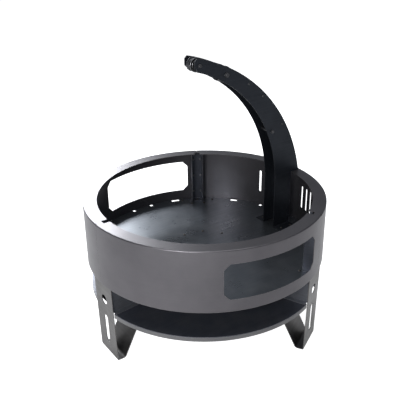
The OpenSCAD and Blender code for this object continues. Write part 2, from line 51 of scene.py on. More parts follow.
def row_of(tree, *kinds):
    """New nodes of these kinds, in order, laid out in a row."""
    made = []
    for i, kind in enumerate(kinds):
        node = tree.nodes.new(kind)
        node.location = (220 * i, 0)
        made.append(node)
    return made


world = bpy.data.worlds.new("studio")
scene.world = world
world.use_nodes = True
tree = world.node_tree
tree.nodes.clear()
path, backdrop, surround, mix, out = row_of(
    tree, "ShaderNodeLightPath", "ShaderNodeBackground", "ShaderNodeBackground",
    "ShaderNodeMixShader", "ShaderNodeOutputWorld")
backdrop.inputs["Color"].default_value = (1, 1, 1, 1)
surround.inputs["Color"].default_value = (0.62, 0.66, 0.72, 1)
surround.inputs["Strength"].default_value = 0.30
tree.links.new(path.outputs["Is Camera Ray"], mix.inputs["Fac"])
tree.links.new(surround.outputs[0], mix.inputs[1])
tree.links.new(backdrop.outputs[0], mix.inputs[2])
tree.links.new(mix.outputs[0], out.inputs["Surface"])

FLOOR_REACH = 40
bm = bmesh.new()
bmesh.ops.create_grid(bm, x_segments=1, y_segments=1, size=FLOOR_REACH)
floor_mesh = bpy.data.meshes.new("studio_floor")
bm.to_mesh(floor_mesh)
bm.free()
studio_floor = bpy.data.objects.new("studio_floor", floor_mesh)
scene.collection.objects.link(studio_floor)
pale = bpy.data.materials.new("pale_floor")
pale.use_nodes = True
shader = pale.node_tree.nodes["Principled BSDF"]
shader.inputs["Base Color"].default_value = (0.66, 0.66, 0.66, 1)
shader.inputs["Roughness"].default_value = 1.0
shader.inputs["Specular IOR Level"].default_value = 0.0
shader.inputs["Emission Color"].default_value = (1, 1, 1, 1)
seen, = row_of(pale.node_tree, "ShaderNodeLightPath")
glow = pale.node_tree.nodes.new("ShaderNodeMapRange")
glow.inputs["To Min"].default_value = 0.30
glow.inputs["To Max"].default_value = 0.92
pale.node_tree.links.new(seen.outputs["Is Camera Ray"], glow.inputs["Value"])
pale.node_tree.links.new(glow.outputs["Result"], shader.inputs["Emission Strength"])
floor_mesh.materials.append(pale)


def soft_light(name, place, aim, size, power, colour=(1, 1, 1)):
    lamp = bpy.data.lights.new(name, "AREA")
    lamp.shape = "RECTANGLE"
    lamp.size, lamp.size_y = size
    lamp.energy = power
    lamp.color = colour
    holder = bpy.data.objects.new(name, lamp)
    holder.location = place
    holder.rotation_euler = (Vector(aim) - Vector(place)).to_track_quat("-Z", "Y").to_euler()
    scene.collection.objects.link(holder)


soft_light("overhead_light", (0.0, 0.0, 3.6), (0, 0, 0.5), (3.0, 3.0), 60)
soft_light("window_light", (-3.6, 0.2, 1.9), (0, 0, 0.6), (2.2, 1.6), 130, (0.96, 0.98, 1.0))
soft_light("left_glow", (-3.3, 0.75, 2.0), (-0.2, 0, 0.4), (0.6, 1.2), 30, (0.94, 0.97, 1.0))
soft_light("front_light", (2.2, -3.1, 1.8), (0, 0, 0.5), (1.4, 1.4), 130)

eye = Vector((2.0524, -1.4017, 1.722))
heading, look_down, roll = math.radians(145.36), math.radians(25.65), -0.0064
lens = bpy.data.cameras.new("camera")
lens.sensor_width = 36
lens.lens = 56.86
camera = bpy.data.objects.new("camera", lens)
camera.matrix_world = (
    Matrix.Translation(eye) @ Matrix.Rotation(heading - math.pi / 2, 4, "Z")
    @ Matrix.Rotation(math.pi / 2 - look_down, 4, "X") @ Matrix.Rotation(roll, 4, "Z"))
scene.collection.objects.link(camera)
scene.camera = camera

# ---------- finish of the sheet steel ----------
# Every sheet is hot-rolled steel with an oiled mill finish: cloudy scale, faint rolling
# streaks, and cut edges that are rubbed bright. Three node groups are shared.


def new_group(name, ins, outs):
    """An empty shader node group with named float, vector or colour sockets."""
    group = bpy.data.node_groups.new(name, "ShaderNodeTree")
    for label, kind, value in ins:
        socket = group.interface.new_socket(label, in_out="INPUT", socket_type=kind)
        socket.default_value = value
    for label, kind in outs:
        group.interface.new_socket(label, in_out="OUTPUT", socket_type=kind)
    source, sink = row_of(group, "NodeGroupInput", "NodeGroupOutput")
    sink.location = (1800, 0)
    return group, source, sink


def set_maths(tree, operation, *values):
    node = tree.nodes.new("ShaderNodeMath")
    node.operation = operation
    for socket, value in zip(node.inputs, values):
        if isinstance(value, bpy.types.NodeSocket):
            tree.links.new(value, socket)
        else:
            socket.default_value = value
    return node.outputs[0]


def span(tree, value, low, high, to_low=0.0, to_high=1.0):
    node = tree.nodes.new("ShaderNodeMapRange")
    for label, v in (("From Min", low), ("From Max", high), ("To Min", to_low), ("To Max", to_high)):
        node.inputs[label].default_value = v
    tree.links.new(value, node.inputs["Value"])
    return node.outputs["Result"]


def noise_of(tree, vector, scale, detail, rough=0.55):
    node = tree.nodes.new("ShaderNodeTexNoise")
    node.inputs["Scale"].default_value = scale
    node.inputs["Detail"].default_value = detail
    node.inputs["Roughness"].default_value = rough
    tree.links.new(vector, node.inputs["Vector"])
    return node.outputs["Fac"]


FLOAT, VECTOR = "NodeSocketFloat", "NodeSocketVector"

# Clouds of scale, long rolling streaks and a fine tooth
mill_scale, source, sink = new_group(
    "mill_scale", [("Rolling", VECTOR, (3, 3, 160)), ("Cloud Share", FLOAT, 0.6)],
    [("Tone", FLOAT), ("Tooth", FLOAT)])
coords, stretch = row_of(mill_scale, "ShaderNodeTexCoord", "ShaderNodeMapping")
here = coords.outputs["Object"]
mill_scale.links.new(here, stretch.inputs["Vector"])
mill_scale.links.new(source.outputs["Rolling"], stretch.inputs["Scale"])
clouds = span(mill_scale, noise_of(mill_scale, here, 5.5, 6, 0.6), 0.32, 0.68)
streaks = span(mill_scale, noise_of(mill_scale, stretch.outputs[0], 1.0, 3), 0.3, 0.7)
blend = mill_scale.nodes.new("ShaderNodeMix")
mill_scale.links.new(source.outputs["Cloud Share"], blend.inputs["Factor"])
mill_scale.links.new(streaks, blend.inputs["A"])
mill_scale.links.new(clouds, blend.inputs["B"])
mill_scale.links.new(blend.outputs["Result"], sink.inputs["Tone"])
fine_grain = set_maths(mill_scale, "MULTIPLY", noise_of(mill_scale, here, 900, 2), 0.5)
coarse_grain = set_maths(mill_scale, "MULTIPLY", noise_of(mill_scale, here, 38, 4), 0.5)
mill_scale.links.new(set_maths(mill_scale, "ADD", fine_grain, coarse_grain), sink.inputs["Tooth"])

# A mask that is white along a piece's own edges, broken up by noise
edge_wear, source, sink = new_group(
    "edge_wear", [("Reach", FLOAT, 0.0016), ("Patchiness", FLOAT, 0.5)], [("Mask", FLOAT)])
rounded, flat, facing = row_of(edge_wear, "ShaderNodeBevel", "ShaderNodeNewGeometry", "ShaderNodeVectorMath")
rounded.samples = 4
facing.operation = "DOT_PRODUCT"
edge_wear.links.new(source.outputs["Reach"], rounded.inputs["Radius"])
edge_wear.links.new(rounded.outputs["Normal"], facing.inputs[0])
edge_wear.links.new(flat.outputs["Normal"], facing.inputs[1])
edge = span(edge_wear, facing.outputs["Value"], 0.995, 0.80)
coords, = row_of(edge_wear, "ShaderNodeTexCoord")
patches = span(edge_wear, noise_of(edge_wear, coords.outputs["Object"], 60, 3), 0.35, 0.65)
kept = set_maths(edge_wear, "SUBTRACT", 1.0, set_maths(
    edge_wear, "MULTIPLY", source.outputs["Patchiness"], patches))
edge_wear.links.new(set_maths(edge_wear, "MULTIPLY", edge, kept), sink.inputs["Mask"])

# Ash and dust that settles on faces that look up
settled_dust, source, sink = new_group("settled_dust", [("Amount", FLOAT, 0.2)], [("Mask", FLOAT)])
coords, flat, split = row_of(
    settled_dust, "ShaderNodeTexCoord", "ShaderNodeNewGeometry", "ShaderNodeSeparateXYZ")
settled_dust.links.new(flat.outputs["Normal"], split.inputs[0])
upward = span(settled_dust, split.outputs["Z"], 0.6, 0.95)
drift = span(settled_dust, noise_of(settled_dust, coords.outputs["Object"], 14, 5, 0.65), 0.42, 0.72)
settled_dust.links.new(
    set_maths(settled_dust, "MULTIPLY", source.outputs["Amount"],
              set_maths(settled_dust, "MULTIPLY", upward, drift)), sink.inputs["Mask"])


def colour_mix(tree, factor, first, second):
    node = tree.nodes.new("ShaderNodeMix")
    node.data_type = "RGBA"
    tree.links.new(factor, node.inputs["Factor"])
    for socket, value in ((node.inputs[6], first), (node.inputs[7], second)):
        if isinstance(value, bpy.types.NodeSocket):
            tree.links.new(value, socket)
        else:
            socket.default_value = (*value, 1)
    return node.outputs[2]


def put_group(tree, group, **values):
    node = tree.nodes.new("ShaderNodeGroup")
    node.node_tree = group
    for label, value in values.items():
        node.inputs[label.replace("_", " ")].default_value = value
    return node


def sheet_steel(name, deep, light, rolling=(3, 3, 160), metal=0.9, rough=(0.30, 0.44),
                wear=(0.34, 0.33, 0.33), dust=0.15, tooth=0.05, clouds=0.6):
    """Mill-finish steel: two tones of scale, rubbed edges, a little settled dust."""
    made = bpy.data.materials.new(name)
    made.use_nodes = True
    tree = made.node_tree
    shader = tree.nodes["Principled BSDF"]
    scale = put_group(tree, mill_scale, Rolling=rolling, Cloud_Share=clouds)
    edges = put_group(tree, edge_wear)
    ash = put_group(tree, settled_dust, Amount=dust)
    body = colour_mix(tree, scale.outputs["Tone"], deep, light)
    rubbed = colour_mix(tree, edges.outputs["Mask"], body, wear)
    dusty = colour_mix(tree, ash.outputs["Mask"], rubbed, (0.16, 0.155, 0.15))
    tree.links.new(dusty, shader.inputs["Base Color"])
    gloss = span(tree, scale.outputs["Tone"], 0.0, 1.0, rough[1], rough[0])
    tree.links.new(set_maths(tree, "ADD", gloss, set_maths(
        tree, "MULTIPLY", ash.outputs["Mask"], 0.35)), shader.inputs["Roughness"])
    shader.inputs["Metallic"].default_value = metal
    bump = tree.nodes.new("ShaderNodeBump")
    bump.inputs["Strength"].default_value = tooth
    bump.inputs["Distance"].default_value = 0.0006
    tree.links.new(scale.outputs["Tooth"], bump.inputs["Height"])
    tree.links.new(bump.outputs["Normal"], shader.inputs["Normal"])
    return made


# ---------- drum ----------
# Three segments of 3 mm sheet, rolled to the drum's radius, each with its top edge
# folded inwards as a flat rim. Windows, vent slots and notches are laser-cut.
DRUM_R, SHEET, RIM_W = 0.500, 0.003, 0.056
DRUM_FOOT, RIM_TOP = 0.345, 0.600
SEAM_HALF = math.degrees(0.0006 / DRUM_R)
SEAMS = {"right": 30, "left": 150, "front": 270}
CUT_EDGE, TUBE_EDGE = 0.0004, 0.0003
BEND_OUT, BEND_IN = 0.0045, 0.0015
FILLET_STEPS, SWEEP_STEP = 5, 1.0
drum_steel = sheet_steel("drum_steel", (0.104, 0.100, 0.109), (0.128, 0.123, 0.133), rough=(0.34, 0.40),
                         dust=0.05, clouds=0.85)


def polar(r, degrees, z=0.0):
    a = math.radians(degrees)
    return Vector((r * math.cos(a), r * math.sin(a), z))


def fillet(before, corner, after, radius):
    """Points of an arc that rounds a flat corner off."""
    a, b = (before - corner).normalized(), (after - corner).normalized()
    half = a.angle(b) / 2
    cut = radius / math.tan(half)
    middle = corner + (a + b).normalized() * (radius / math.sin(half))
    start, end = corner + a * cut - middle, corner + b * cut - middle
    turn = start.angle_signed(end)
    return [middle + Matrix.Rotation(-turn * i / FILLET_STEPS, 2) @ start for i in range(FILLET_STEPS + 1)]


def rounded_outline(points, radii):
    out = []
    for i, (p, r) in enumerate(zip(points, radii)):
        p = Vector(p)
        if r:
            out += fillet(Vector(points[i - 1]), p, Vector(points[(i + 1) % len(points)]), r)
        else:
            out.append(p)
    return out


def into_object(name, bm, smooth=32):
    """A finished bmesh as a linked object, with edges sharper than the given angle kept sharp."""
    bmesh.ops.remove_doubles(bm, verts=bm.verts, dist=1e-6)
    bmesh.ops.recalc_face_normals(bm, faces=bm.faces)
    mesh = bpy.data.meshes.new(name)
    bm.to_mesh(mesh)
    bm.free()
    mesh.shade_smooth()
    mesh.set_sharp_from_angle(angle=math.radians(smooth))
    piece = bpy.data.objects.new(name, mesh)
    scene.collection.objects.link(piece)
    return piece


def swept_ring(outline, start, end):
    """A closed (radius, height) outline swept about the drum's axis, with flat end caps."""
    bm = bmesh.new()
    count = max(2, round((end - start) / SWEEP_STEP))
    rings = [[bm.verts.new(polar(p[0], start + (end - start) * i / count, p[1])) for p in outline]
             for i in range(count + 1)]
    for a, b in zip(rings, rings[1:]):
        for i in range(len(outline)):
            j = (i + 1) % len(outline)
            bm.faces.new((a[i], a[j], b[j], b[i]))
    bm.faces.new(rings[0])
    bm.faces.new(list(reversed(rings[-1])))
    return bm


def prism(bm, outline, offset):
    """A closed flat outline of 3-D points pushed along an offset."""
    low = [bm.verts.new(p) for p in outline]
    high = [bm.verts.new(p + offset) for p in outline]
    bm.faces.new(low)
    bm.faces.new(list(reversed(high)))
    for i in range(len(low)):
        j = (i + 1) % len(low)
        bm.faces.new((low[j], low[i], high[i], high[j]))


# Every cutter through the wall reaches from well inside it to well outside it
CUT_FROM, CUT_TO = 0.485, 0.515
WINDOW_FOOT, WINDOW_TOP, WINDOW_CHAMFER, WINDOW_STEPS = 0.395, 0.544, 0.024, 40


def window_cutter(bm, start, end):
    """A window's outline, following the wall, with its four corners cut off."""
    lean = math.degrees(WINDOW_CHAMFER / DRUM_R)
    rows = []
    for i in range(WINDOW_STEPS + 1):
        a = start + (end - start) * i / WINDOW_STEPS
        rows.append((a, max(0.0, 1 - (a - start) / lean, 1 - (end - a) / lean)))
    for a in (start + lean, end - lean):
        rows.append((a, 0.0))
    rows.sort()
    slices = []
    for a, k in rows:
        low, high = WINDOW_FOOT + k * WINDOW_CHAMFER, WINDOW_TOP - k * WINDOW_CHAMFER
        slices.append([bm.verts.new(polar(r, a, z)) for r, z in (
            (CUT_FROM, low), (CUT_TO, low), (CUT_TO, high), (CUT_FROM, high))])
    for a, b in zip(slices, slices[1:]):
        for i in range(4):
            j = (i + 1) % 4
            bm.faces.new((a[i], a[j], b[j], b[i]))
    bm.faces.new(slices[0])
    bm.faces.new(list(reversed(slices[-1])))


NOTCH_END, NOTCH_HALF_W, RELIEF_R = 0.470, 0.012, 0.004


def seam_cutters(bm, azimuth):
    """The rim's notch and the relief hole through the fold, at one seam."""
    u, t = polar(1, azimuth), polar(1, azimuth + 90)
    corner = [u * r + t * w for r, w in (
        (0.440, -NOTCH_HALF_W), (NOTCH_END, -NOTCH_HALF_W), (NOTCH_END, NOTCH_HALF_W), (0.440, NOTCH_HALF_W))]
    prism(bm, [p + Vector((0, 0, 0.590)) for p in corner], Vector((0, 0, 0.02)))
    hole, slant = u * 0.4985 + Vector((0, 0, 0.5985)), (u + Vector((0, 0, 1))).normalized()
    across = slant.cross(t)
    circle = [hole - slant * 0.012 + (t * math.cos(a) + across * math.sin(a)) * RELIEF_R
              for a in (math.tau * i / 24 for i in range(24))]
    prism(bm, circle, slant * 0.024)


VENT_MIDDLE, VENT_HALF_L, VENT_HALF_W = 0.4695, 0.0485, 0.0055
VENT_COUNT, VENT_FIRST, VENT_STEP = 5, 7, 4


def vent_cutter(bm, azimuth):
    """One upright slot with round ends."""
    u, t = polar(1, azimuth), polar(1, azimuth + 90)
    ring = []
    for side, start in ((1, 0), (-1, 180)):
        for i in range(9):
            a = math.radians(start + 180 * i / 8)
            ring.append(u * CUT_FROM + t * (VENT_HALF_W * math.cos(a)) + Vector(
                (0, 0, VENT_MIDDLE + side * VENT_HALF_L + VENT_HALF_W * math.sin(a))))
    prism(bm, ring, u * 0.03)


def cut_away(piece, cutter_bm):
    """Takes the cutters out of a piece, breaks its sharp edges, and bakes the result."""
    bmesh.ops.recalc_face_normals(cutter_bm, faces=cutter_bm.faces)
    cutter_mesh = bpy.data.meshes.new("cutter")
    cutter_bm.to_mesh(cutter_mesh)
    cutter_bm.free()
    cutter = bpy.data.objects.new("cutter", cutter_mesh)
    scene.collection.objects.link(cutter)
    cut = piece.modifiers.new("cut", "BOOLEAN")
    cut.object = cutter
    cut.solver = "EXACT"
    baked = bpy.data.meshes.new_from_object(piece.evaluated_get(bpy.context.evaluated_depsgraph_get()))
    piece.modifiers.clear()
    piece.data = baked
    bpy.data.objects.remove(cutter)
    break_edges(piece, CUT_EDGE)


def break_edges(piece, edge):
    """Bevels every corner sharper than 40 degrees and bakes even shading."""
    bevel = piece.modifiers.new("broken_edges", "BEVEL")
    bevel.width = edge
    bevel.segments = 2
    bevel.limit_method = "ANGLE"
    bevel.angle_limit = math.radians(40)
    bevel.use_clamp_overlap = True
    baked = bpy.data.meshes.new_from_object(piece.evaluated_get(bpy.context.evaluated_depsgraph_get()))
    piece.modifiers.clear()
    piece.data = baked
    baked.shade_smooth()
    baked.set_sharp_from_angle(angle=math.radians(35))
    # large flat faces keep their own normals, so that only the rounded strips shade round
    evened = piece.modifiers.new("evened_normals", "WEIGHTED_NORMAL")
    evened.keep_sharp = True
    evened.weight = 100
    piece.data = bpy.data.meshes.new_from_object(
        piece.evaluated_get(bpy.context.evaluated_depsgraph_get()))
    piece.modifiers.clear()


def finish_piece(piece, material, slot, *nodes, body="frame"):
    """Gives a piece its material, hangs it on its body and hides the CAD nodes it replaces."""
    piece.data.materials.clear()
    piece.data.materials.append(material)
    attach(piece, body)
    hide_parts(*nodes)


drum_outline = rounded_outline(
    [(DRUM_R - SHEET, DRUM_FOOT), (DRUM_R, DRUM_FOOT), (DRUM_R, RIM_TOP), (DRUM_R - RIM_W, RIM_TOP),
     (DRUM_R - RIM_W, RIM_TOP - SHEET), (DRUM_R - SHEET, RIM_TOP - SHEET)],
    [0, 0, BEND_OUT, 0, 0, BEND_IN])
DRUM_CUTS = {
    "rear": (30, 150, None),
    "left": (150, 270, (155.3, 207.4)),
    "right": (-90, 30, (-26.8, 23.1)),
}
for side, (start, end, window) in DRUM_CUTS.items():
    segment = into_object("rolled_wall_" + side, swept_ring(drum_outline, start + SEAM_HALF, end - SEAM_HALF))
    cutters = bmesh.new()
    seam_cutters(cutters, start)
    seam_cutters(cutters, end)
    if window:
        window_cutter(cutters, *window)
    else:
        for i in range(VENT_COUNT):
            for away in (VENT_FIRST + VENT_STEP * i, -VENT_FIRST - VENT_STEP * i):
                vent_cutter(cutters, 90 + away)
    cut_away(segment, cutters)
    finish_piece(segment, drum_steel, "drum_steel", "drum_segment_" + side)

# ---------- folded sheet parts ----------
# Pillars, gussets, legs and crane plates are cut from 3 mm sheet and folded on a press,
# so each fold has a small radius inside and a larger one outside.


def cad_copy(node):
    """A CAD node's mesh with its loose triangles merged back into flat faces."""
    bm = bmesh.new()
    bm.from_mesh(frame["nodes"][node].data)
    bmesh.ops.remove_doubles(bm, verts=bm.verts, dist=2e-6)
    bmesh.ops.dissolve_limit(bm, angle_limit=math.radians(0.4), verts=bm.verts, edges=bm.edges)
    return bm


def fold_edges(bm, bends):
    """Rounds straight fold edges. Each bend is (test on a point, radius)."""
    for is_on, radius in bends:
        edges = [e for e in bm.edges if len(e.link_faces) == 2 and all(is_on(v.co) for v in e.verts)
                 and e.calc_face_angle(0) > math.radians(10)]
        if edges:
            bmesh.ops.bevel(bm, geom=edges, offset=radius, segments=5, profile=0.5, affect="EDGES",
                            offset_type="OFFSET", clamp_overlap=True)


def in_leg_frame(azimuth):
    """Turns a point into (outwards, sideways, up) as seen from the drum's axis."""
    u, t = polar(1, azimuth), polar(1, azimuth + 90)
    return lambda co: (co.dot(u), co.dot(t), co.z)


def near(value, target, slack=0.00015):
    return abs(value - target) < slack


def folded_piece(name, node, material, slot, bends, edge=CUT_EDGE):
    bm = cad_copy(node)
    fold_edges(bm, bends)
    piece = into_object(name, bm)
    break_edges(piece, edge)
    finish_piece(piece, material, slot, node)
    return piece


# ---------- joint pillars ----------
# An open channel on each seam, held by three rows of weld studs. Its flanges reach in to
# the rim's edge, and its foot tab is bolted to the floor plate.
# The pillars' blue-grey is the steel's own, lightened as a painted reflection of the window light from the
# left.
pillar_steel = sheet_steel("pillar_steel", (0.075, 0.080, 0.098), (0.115, 0.122, 0.145), dust=0.0)
PILLAR_BACK, PILLAR_HALF, FLOOR_TOP = 0.49597, 0.027, 0.348
for side, azimuth in SEAMS.items():
    local = in_leg_frame(azimuth)
    bends = [
        (lambda co, f=local: near(f(co)[0], PILLAR_BACK) and near(abs(f(co)[1]), PILLAR_HALF), 0.0040),
        (lambda co, f=local: near(f(co)[0], PILLAR_BACK - SHEET)
         and near(abs(f(co)[1]), PILLAR_HALF - SHEET), 0.0012),
        (lambda co, f=local: near(f(co)[0], PILLAR_BACK) and near(co.z, FLOOR_TOP), 0.0040),
        (lambda co, f=local: near(f(co)[0], PILLAR_BACK - SHEET) and near(co.z, FLOOR_TOP + SHEET), 0.0012),
    ]
    folded_piece("seam_pillar_" + side, "joint_pillar_" + side, pillar_steel, "pillar_steel", bends)

# ---------- floor ----------
# A round plate that carries the fire, with air notches round its edge and a stiffener
# ring bolted underneath.
floor_steel = sheet_steel("floor_steel", (0.100, 0.112, 0.130), (0.150, 0.163, 0.182),
                          rolling=(90, 2.5, 2.5), rough=(0.24, 0.34), dust=0.15)
for node in ("floor_plate", "floor_ring"):
    plate = into_object(node.replace("floor", "fire_floor"), cad_copy(node))
    break_edges(plate, CUT_EDGE)
    finish_piece(plate, floor_steel, "floor_steel", node)

# ---------- legs ----------
# Each leg is one sheet folded into a V: a flange under the floor, an outer plate with a
# hand hole and a long slot, a flat foot with a soft bend, and an inner plate to the shelf.
leg_steel = sheet_steel("leg_steel", (0.085, 0.083, 0.083), (0.130, 0.126, 0.125), dust=0.0)
LEG_FACE = 0.4914
for side, azimuth in SEAMS.items():
    local = in_leg_frame(azimuth)
    bends = [
        (lambda co, f=local: near(co.z, DRUM_FOOT) and near(f(co)[0], LEG_FACE, 0.0004), 0.0050),
        (lambda co, f=local: near(co.z, DRUM_FOOT - SHEET, 0.0004)
         and near(f(co)[0], LEG_FACE - SHEET, 0.0012), 0.0018),
        (lambda co, f=local: near(co.z, 0) and f(co)[0] > 0.478, 0.0050),
        (lambda co, f=local: near(co.z, SHEET, 0.0004) and f(co)[0] > 0.476, 0.0018),
    ]
    folded_piece("folded_leg_" + side, "leg_" + side, leg_steel, "leg_steel", bends)

# ---------- gussets ----------
# A C-shaped bracket on each side of a leg, bolted under the floor and on the shelf, so
# that the stand can't sway.
# Painted light: the gussets' steel is given about twice the lightness of the other sheets of the same steel,
# standing in for the light that falls on them.
gusset_steel = sheet_steel("gusset_steel", (0.160, 0.168, 0.190), (0.225, 0.235, 0.262), metal=0.8, dust=0.05)
SHELF_TOP = 0.230
GUSSET_TURN = math.degrees(math.asin(0.065 / LEG_FACE))
GUSSETS = {"left_rear": (150, -1), "left_front": (150, 1), "right_rear": (30, 1),
           "right_front": (30, -1), "front_left": (270, -1), "front_right": (270, 1)}
for side, (azimuth, hand) in GUSSETS.items():
    local = in_leg_frame(azimuth + hand * GUSSET_TURN)
    bends = []
    for z, inward in ((SHELF_TOP, 1), (DRUM_FOOT, -1)):
        bends.append((lambda co, f=local, z=z, s=hand: near(co.z, z)
                      and near(f(co)[1] * s, -SHEET, 0.0003), 0.0042))
        bends.append((lambda co, f=local, z=z + inward * SHEET, s=hand: near(co.z, z)
                      and near(f(co)[1] * s, 0, 0.0003), 0.0012))
    folded_piece("side_gusset_" + side, "gusset_" + side, gusset_steel, "gusset_steel", bends)

# ---------- log shelf ----------
# A round plate notched for the legs, with rolled strips stitched under its rim by short
# weld beads.
shelf_steel = sheet_steel("shelf_steel", (0.045, 0.050, 0.066), (0.070, 0.077, 0.098),
                          rolling=(90, 2.5, 2.5), metal=0.6, rough=(0.32, 0.44), dust=0.2)
shelf_lip_steel = sheet_steel("shelf_lip_steel", (0.130, 0.130, 0.135), (0.180, 0.180, 0.186), dust=0.0)
plate = into_object("log_shelf_plate", cad_copy("shelf"))
break_edges(plate, CUT_EDGE)
finish_piece(plate, shelf_steel, "shelf_steel", "shelf")

SHELF_R, LIP_FOOT = 0.491, 0.210
NOTCH_HALF = math.degrees(math.asin(0.0732 / SHELF_R))
strips = bmesh.new()
for azimuth in (30, 150, 270):
    arc = swept_ring([(SHELF_R - SHEET, LIP_FOOT), (SHELF_R, LIP_FOOT),
                      (SHELF_R, SHELF_TOP - SHEET), (SHELF_R - SHEET, SHELF_TOP - SHEET)],
                     azimuth + NOTCH_HALF, azimuth + 120 - NOTCH_HALF)
    part = bpy.data.meshes.new("strip")
    arc.to_mesh(part)
    arc.free()
    strips.from_mesh(part)
    bpy.data.meshes.remove(part)
strip = into_object("rolled_shelf_edge", strips)
break_edges(strip, CUT_EDGE)
finish_piece(strip, shelf_lip_steel, "shelf_steel", "shelf_edge")

# ---------- crane ----------
# Two curved plates with folded feet, a curved strip that closes the channel's back, and
# spacer tubes between them. The steel is blackened and matt.
crane_steel = sheet_steel("crane_steel", (0.014, 0.017, 0.023), (0.026, 0.030, 0.038), metal=0.75,
                          rough=(0.42, 0.52), wear=(0.10, 0.105, 0.115), dust=0.0)
for side, hand in (("left", -1), ("right", 1)):
    bends = [
        (lambda co, s=hand: near(co.z, FLOOR_TOP) and near(co.x * s, 0.033, 0.0002), 0.0042),
        (lambda co, s=hand: near(co.z, FLOOR_TOP + SHEET) and near(co.x * s, 0.036, 0.0002), 0.0012),
    ]
    folded_piece("crane_cheek_" + side, "crane_plate_" + side, crane_steel, "crane_steel", bends)
folded_piece("crane_spine", "crane_back_strip", crane_steel, "crane_steel", [])

# Spacer tubes, and the sleeves beside each wheel and on the pin, are plain dark tube
sleeve_steel = sheet_steel("sleeve_steel", (0.040, 0.041, 0.045), (0.070, 0.072, 0.078), rolling=(160, 3, 3),
                           dust=0.0)
for node in ("crane_spacers", "tip_sleeves", "guide_sleeves", "belay_sleeve"):
    folded_piece(node.replace("crane_spacers", "spacer_tubes"), node, sleeve_steel, "sleeve_steel", [],
                 TUBE_EDGE)

# ---------- chain rollers ----------
# A grooved pulley at the crane's tip and a wider guide roller behind it, both turned from
# steel bar with a rounded rope seat and dished sides.
turned_steel = sheet_steel("turned_steel", (0.055, 0.056, 0.060), (0.085, 0.086, 0.092), rolling=(220, 6, 6),
                           rough=(0.28, 0.40), wear=(0.20, 0.20, 0.21), dust=0.0, tooth=0.03)


def turned_wheel(name, joint, width, radius, bore, groove, seat):
    """A wheel turned about its joint's axis, along X."""
    centre = Vector(next(j for j in frame["record"]["behaviour"]["joints"] if j["name"] == joint)["pos_m"])
    rim, half = 0.12 * width, width / 2
    outline = [(-half, bore), (-half, 0.62 * radius), (-half + 0.0012, 0.66 * radius),
               (-half + 0.0012, radius - 0.004), (-half, radius - 0.003), (-half, radius - 0.0008),
               (-half + 0.0008, radius), (-half + rim, radius)]
    for i in range(9):
        a = math.pi * i / 8
        outline.append((-seat * math.cos(a), radius - groove + (seat * 0.35) * (1 - math.sin(a))))
    outline += [(-x, r) for x, r in reversed(outline[:8])]
    bm = bmesh.new()
    count = 64
    rings = [[bm.verts.new(centre + Vector((x, r * math.cos(a), r * math.sin(a)))) for x, r in outline]
             for a in (math.tau * i / count for i in range(count))]
    for i in range(count):
        first, second = rings[i], rings[(i + 1) % count]
        for k in range(len(outline)):
            m = (k + 1) % len(outline)
            bm.faces.new((first[k], first[m], second[m], second[k]))
    return into_object(name, bm)


pulley = turned_wheel("chain_pulley", "tip_pulley_spin", 0.028, 0.028, 0.00406, 0.008, 0.0085)
finish_piece(pulley, turned_steel, "roller_steel", "tip_pulley", body="tip_pulley")
roller = turned_wheel("chain_roller", "guide_roller_spin", 0.046, 0.033, 0.00506, 0.009, 0.0140)
finish_piece(roller, turned_steel, "roller_steel", "guide_roller", body="guide_roller")

# ---------- fasteners ----------
# Button-head bolts with hexagon sockets, chamfered hexagon nuts, weld studs and
# hexagon-head axles, zinc-plated, blackened on the crane, and dark brown on the floor, shelf and crane feet,
# a darkening that is painted shade.
# One of each is made, and a node tree puts copies in every hole.
fastener_zinc = sheet_steel("fastener_zinc", (0.10, 0.10, 0.105), (0.19, 0.19, 0.195), rolling=(40, 40, 40),
                            rough=(0.34, 0.50), wear=(0.42, 0.42, 0.42), dust=0.3)
crane_zinc = sheet_steel("blackened_zinc", (0.045, 0.046, 0.050), (0.085, 0.086, 0.092),
                         rolling=(40, 40, 40), rough=(0.36, 0.50), wear=(0.20, 0.20, 0.21), dust=0.0)
# Painted shade: the bolts on the floor, the shelf and the crane's feet are darkened to a dark brown so that
# they sink into the shade where they sit.
floor_zinc = sheet_steel("shade_darkened_brown_zinc", (0.030, 0.027, 0.026), (0.070, 0.062, 0.058),
                         rolling=(40, 40, 40), rough=(0.40, 0.55), wear=(0.12, 0.11, 0.10), dust=0.3)


def turned_shape(name, profile, sides):
    """A closed solid of rings of points: each ring is (height, radius, number of corners)."""
    bm = bmesh.new()
    rings = []
    for z, r, corners in profile:
        ring = []
        for i in range(sides):
            a = math.tau * i / sides
            if corners:
                part = math.tau / corners
                reach = r / math.cos((a % part) - part / 2)
            else:
                reach = r
            ring.append(bm.verts.new((reach * math.cos(a), reach * math.sin(a), z)))
        rings.append(ring)
    for low, high in zip(rings, rings[1:]):
        for i in range(sides):
            j = (i + 1) % sides
            bm.faces.new((low[i], low[j], high[j], high[i]))
    bm.faces.new(list(reversed(rings[0])))
    bm.faces.new(rings[-1])
    shape = into_object(name, bm, 30)
    shape.hide_render = True
    return shape


def nut_shape(name):
    """A hexagon nut of one unit across flats and one unit high, with both rims chamfered."""
    bm = bmesh.new()
    sides, flat, bore = 24, 0.5, 0.305
    corner = flat / math.cos(math.pi / 6)
    rows = [(0.0, bore, 0), (0.0, 0.94 * flat, 0), (0.10, corner, 6), (0.90, corner, 6),
            (1.0, 0.94 * flat, 0), (1.0, bore, 0)]
    rings = []
    for z, r, corners in rows:
        ring = []
        for i in range(sides):
            a = math.tau * i / sides
            part = math.pi / 3
            reach = flat / math.cos((a % part) - part / 2) if corners else r
            ring.append(bm.verts.new((reach * math.cos(a), reach * math.sin(a), z)))
        rings.append(ring)
    for k in range(len(rings)):
        low, high = rings[k], rings[(k + 1) % len(rings)]
        for i in range(sides):
            j = (i + 1) % sides
            bm.faces.new((low[i], low[j], high[j], high[i]))
    shape = into_object(name, bm, 30)
    shape.hide_render = True
    return shape


